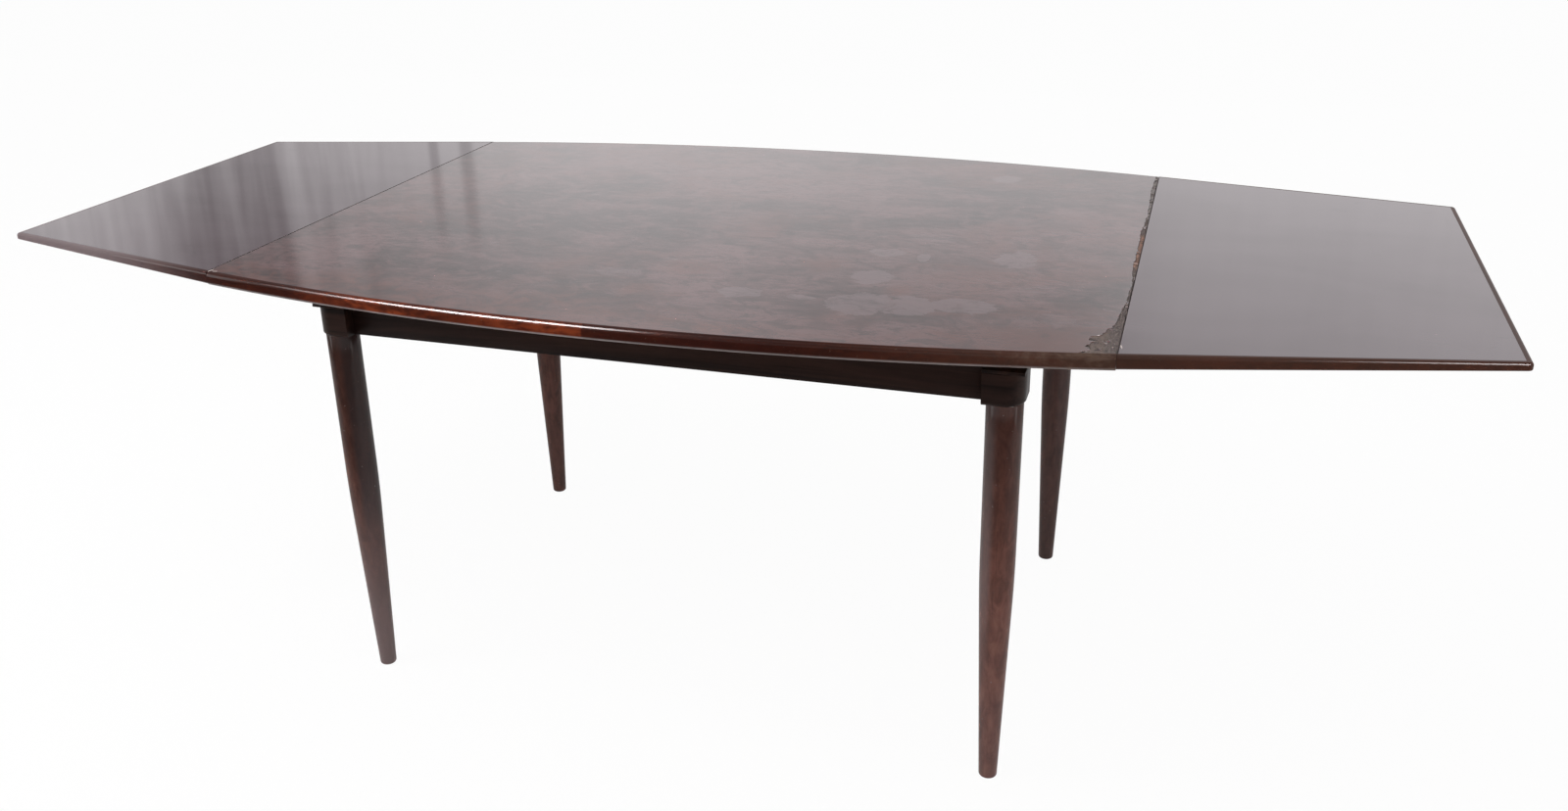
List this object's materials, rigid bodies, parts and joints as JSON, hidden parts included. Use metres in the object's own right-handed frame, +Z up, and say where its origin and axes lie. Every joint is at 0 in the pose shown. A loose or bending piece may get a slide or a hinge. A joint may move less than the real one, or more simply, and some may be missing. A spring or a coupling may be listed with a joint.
{
  "type": "draw-leaf table",
  "caption": "Draw-leaf dining table with a bow-sided loose top, two tapering draw-out end leaves on sloping lopers, and round tapered legs.",
  "frame": {"origin": "on the floor, under the middle of the main top", "axes": "+X along the length towards the right leaf, +Y across towards the rear side, +Z up"},
  "size_m": [2.2648, 1.0438, 0.735],
  "materials": {
    "lipping_wood": "glossy lacquer, dark red-brown",
    "face_veneer": "worn glossy lacquer, dark red-brown",
    "board_core": "bare blockboard",
    "backing_veneer": "thin matt stain",
    "frame_wood": "satin lacquer, dark red-brown",
    "runner_wood": "bare hardwood",
    "steel": "plain zinc plate"
  },
  "bodies": {
    "frame": {"leg_front_left": "frame_wood", "leg_front_right": "frame_wood", "leg_rear_left": "frame_wood", "leg_rear_right": "frame_wood", "leg_bolts": "steel", "block_front_left": "frame_wood", "block_front_right": "frame_wood", "block_rear_left": "frame_wood", "block_rear_right": "frame_wood", "apron_front": "frame_wood", "apron_rear": "frame_wood", "end_rail_left": "frame_wood", "end_rail_right": "frame_wood", "frame_dowels": "runner_wood", "cap_strip_left": "frame_wood", "cap_strip_right": "frame_wood", "loper_guides_left": "runner_wood", "loper_guides_right": "runner_wood", "guide_screws": "steel", "bearer_front": "runner_wood", "bearer_rear": "runner_wood", "bearer_screws": "steel", "centre_board": "runner_wood", "centre_board_screws": "steel", "hold_rail_left": "runner_wood", "hold_rail_right": "runner_wood", "hold_rail_screws": "steel"},
    "main_top": {"top_core": "board_core", "top_backing": "backing_veneer", "top_veneer": "face_veneer", "top_lipping_front": "lipping_wood", "top_lipping_rear": "lipping_wood", "top_lipping_left": "lipping_wood", "top_lipping_right": "lipping_wood", "guide_pegs": "runner_wood"},
    "leaf_left": {"leaf_core_left": "board_core", "leaf_veneer_left": "face_veneer", "leaf_lipping_front_left": "lipping_wood", "leaf_lipping_rear_left": "lipping_wood", "leaf_lipping_outer_left": "lipping_wood", "leaf_lipping_inner_left": "lipping_wood", "loper_front_left": "runner_wood", "loper_rear_left": "runner_wood", "loper_wedges_left": "runner_wood", "loper_stops_left": "runner_wood", "loper_screws_left": "steel"},
    "leaf_right": {"leaf_core_right": "board_core", "leaf_veneer_right": "face_veneer", "leaf_lipping_front_right": "lipping_wood", "leaf_lipping_rear_right": "lipping_wood", "leaf_lipping_outer_right": "lipping_wood", "leaf_lipping_inner_right": "lipping_wood", "loper_front_right": "runner_wood", "loper_rear_right": "runner_wood", "loper_wedges_right": "runner_wood", "loper_stops_right": "runner_wood", "loper_screws_right": "steel"}
  },
  "joints": [
    {"name": "top_lift", "type": "slide", "parent": "frame", "child": "main_top", "axis": [0, 0, 1], "range_m": [0, 0.12]},
    {"name": "leaf_left_draw", "type": "slide", "parent": "frame", "child": "leaf_left", "axis": [-0.9988, 0, 0.0499], "range_m": [0, 0.0047]},
    {"name": "leaf_right_draw", "type": "slide", "parent": "frame", "child": "leaf_right", "axis": [0.9988, 0, 0.0499], "range_m": [0, 0.0047]}
  ]
}
